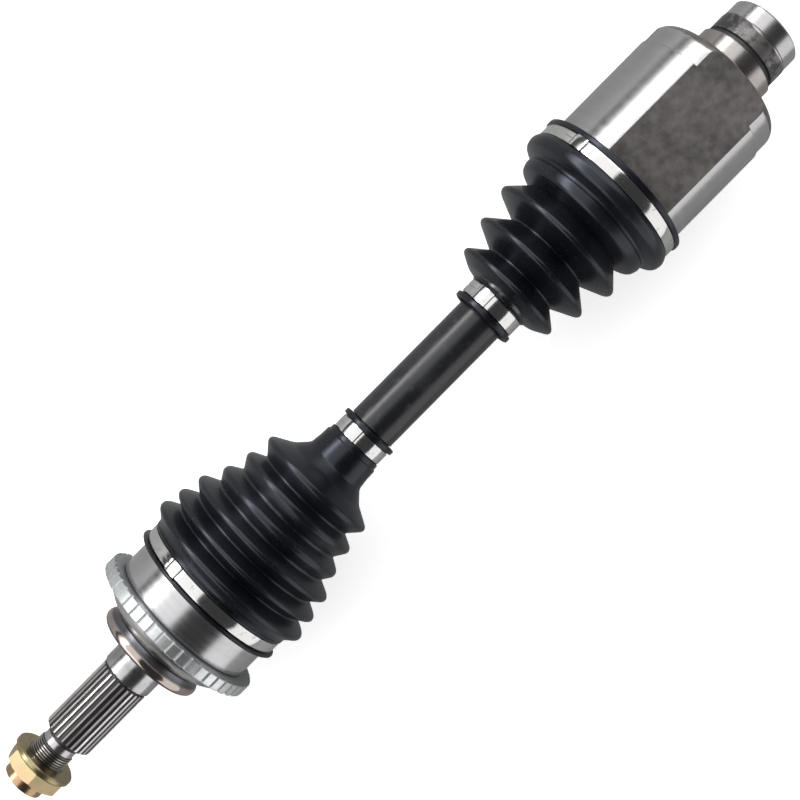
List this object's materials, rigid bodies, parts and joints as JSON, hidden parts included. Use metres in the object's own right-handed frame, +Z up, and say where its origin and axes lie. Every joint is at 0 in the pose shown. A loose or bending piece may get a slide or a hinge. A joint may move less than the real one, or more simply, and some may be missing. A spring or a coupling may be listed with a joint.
{
  "type": "car drive axle",
  "caption": "Front drive axle: splined stub and fixed ball joint at the wheel end, bar under two rubber boots, plunging tripod joint with splined sleeve at the gearbox end.",
  "frame": {"origin": "on the axle's line in the stub's pilot, 5.7 mm outboard of the shoulder face that bears on the wheel bearing", "axes": "+X along the straight axle from the wheel end to the gearbox end, +Z up with one flat of the tripod housing on top, +Y sideways, the way both joints bend"},
  "size_m": [0.5832, 0.107, 0.107],
  "materials": {
    "forged_steel": "forged and turned",
    "bright_steel": "ground",
    "ring_zinc": "zinc plated",
    "nut_zinc": "yellow passivated zinc",
    "black_paint": "satin",
    "boot_rubber": "semi-matt",
    "band_steel": "stainless",
    "adapter_plastic": "matt"
  },
  "bodies": {
    "shaft": {"axle_shaft": "black_paint", "inner_race": "bright_steel", "inner_race_circlip": "bright_steel", "tripod_spider": "bright_steel", "spider_snap_ring": "bright_steel", "needle_rollers_2": "bright_steel", "needle_rollers_3": "bright_steel", "roller_washer_1": "bright_steel", "roller_washer_2": "bright_steel", "roller_washer_3": "bright_steel", "roller_clip_1": "bright_steel", "roller_clip_2": "bright_steel", "roller_clip_3": "bright_steel", "outer_boot_small_clamp": "band_steel", "inner_boot_small_clamp": "band_steel"},
    "outer_race": {"outer_race": "forged_steel", "abs_tone_ring": "ring_zinc", "outer_boot_large_clamp": "band_steel", "outer_boot": "boot_rubber"},
    "nut": {"axle_nut": "nut_zinc"},
    "cage": {"ball_cage": "bright_steel"},
    "ball_1": {"ball_1": "bright_steel"},
    "ball_2": {"ball_2": "bright_steel"},
    "ball_3": {"ball_3": "bright_steel"},
    "ball_4": {"ball_4": "bright_steel"},
    "ball_5": {"ball_5": "bright_steel"},
    "ball_6": {"ball_6": "bright_steel"},
    "tripod_carrier": {"needle_rollers_1": "bright_steel"},
    "roller_1": {"roller_1": "bright_steel"},
    "roller_2": {"roller_2": "bright_steel"},
    "roller_3": {"roller_3": "bright_steel"},
    "inner_housing": {"tripod_housing": "forged_steel", "inner_boot_adapter": "adapter_plastic", "inner_boot_large_clamp": "band_steel", "housing_stop_ring": "bright_steel", "housing_end_cap": "bright_steel", "inner_boot": "boot_rubber"}
  },
  "joints": [
    {"name": "outer_joint_bend", "type": "hinge", "parent": "shaft", "child": "outer_race", "pos_m": [0.044, 0, 0], "axis": [0, 0, 1], "range_deg": [-42, 42], "deforming": ["outer_boot"]},
    {"name": "cage_tilt", "type": "hinge", "parent": "shaft", "child": "cage", "pos_m": [0.044, 0, 0], "axis": [0, 0, 1], "range_deg": [-21, 21]},
    {"name": "ball_1_roll", "type": "hinge", "parent": "shaft", "child": "ball_1", "pos_m": [0.0415, 0, 0], "axis": [0, 0, 1], "range_deg": [-21, 21]},
    {"name": "ball_2_roll", "type": "hinge", "parent": "shaft", "child": "ball_2", "pos_m": [0.0415, 0, 0], "axis": [0, -0.866, 0.5], "range_deg": [-10.5, 10.5]},
    {"name": "ball_3_roll", "type": "hinge", "parent": "shaft", "child": "ball_3", "pos_m": [0.0415, 0, 0], "axis": [0, -0.866, -0.5], "range_deg": [-10.5, 10.5]},
    {"name": "ball_4_roll", "type": "hinge", "parent": "shaft", "child": "ball_4", "pos_m": [0.0415, 0, 0], "axis": [0, 0, -1], "range_deg": [-21, 21]},
    {"name": "ball_5_roll", "type": "hinge", "parent": "shaft", "child": "ball_5", "pos_m": [0.0415, 0, 0], "axis": [0, 0.866, -0.5], "range_deg": [-10.5, 10.5]},
    {"name": "ball_6_roll", "type": "hinge", "parent": "shaft", "child": "ball_6", "pos_m": [0.0415, 0, 0], "axis": [0, 0.866, 0.5], "range_deg": [-10.5, 10.5]},
    {"name": "nut_unscrew", "type": "slide", "parent": "outer_race", "child": "nut", "axis": [-1, 0, 0], "range_m": [0, 0.03]},
    {"name": "inner_joint_bend", "type": "hinge", "parent": "shaft", "child": "tripod_carrier", "pos_m": [0.408, 0, 0], "axis": [0, 0, 1], "range_deg": [-12, 12], "deforming": ["inner_boot"]},
    {"name": "inner_joint_plunge", "type": "slide", "parent": "tripod_carrier", "child": "inner_housing", "axis": [1, 0, 0], "range_m": [-0.013, 0.013], "deforming": ["inner_boot"]},
    {"name": "roller_1_spin", "type": "hinge", "parent": "tripod_carrier", "child": "roller_1", "pos_m": [0.408, 0, -0.026], "axis": [0, 0, -1], "range_deg": [-40, 40]},
    {"name": "roller_2_spin", "type": "hinge", "parent": "shaft", "child": "roller_2", "pos_m": [0.408, 0.02252, 0.013], "axis": [0, 0.866, 0.5], "range_deg": [-40, 40]},
    {"name": "roller_3_spin", "type": "hinge", "parent": "shaft", "child": "roller_3", "pos_m": [0.408, -0.02252, 0.013], "axis": [0, -0.866, 0.5], "range_deg": [-40, 40]}
  ],
  "couplings": [
    {"joint": "cage_tilt", "follows": "outer_joint_bend", "ratio": 0.5},
    {"joint": "ball_1_roll", "follows": "outer_joint_bend", "ratio": 0.5},
    {"joint": "ball_2_roll", "follows": "outer_joint_bend", "ratio": 0.25},
    {"joint": "ball_3_roll", "follows": "outer_joint_bend", "ratio": -0.25},
    {"joint": "ball_4_roll", "follows": "outer_joint_bend", "ratio": -0.5},
    {"joint": "ball_5_roll", "follows": "outer_joint_bend", "ratio": -0.25},
    {"joint": "ball_6_roll", "follows": "outer_joint_bend", "ratio": 0.25},
    {"joint": "roller_1_spin", "follows": "inner_joint_plunge", "rad_per_m": 52.6},
    {"joint": "roller_2_spin", "follows": "inner_joint_plunge", "rad_per_m": 52.6},
    {"joint": "roller_3_spin", "follows": "inner_joint_plunge", "rad_per_m": 52.6}
  ]
}
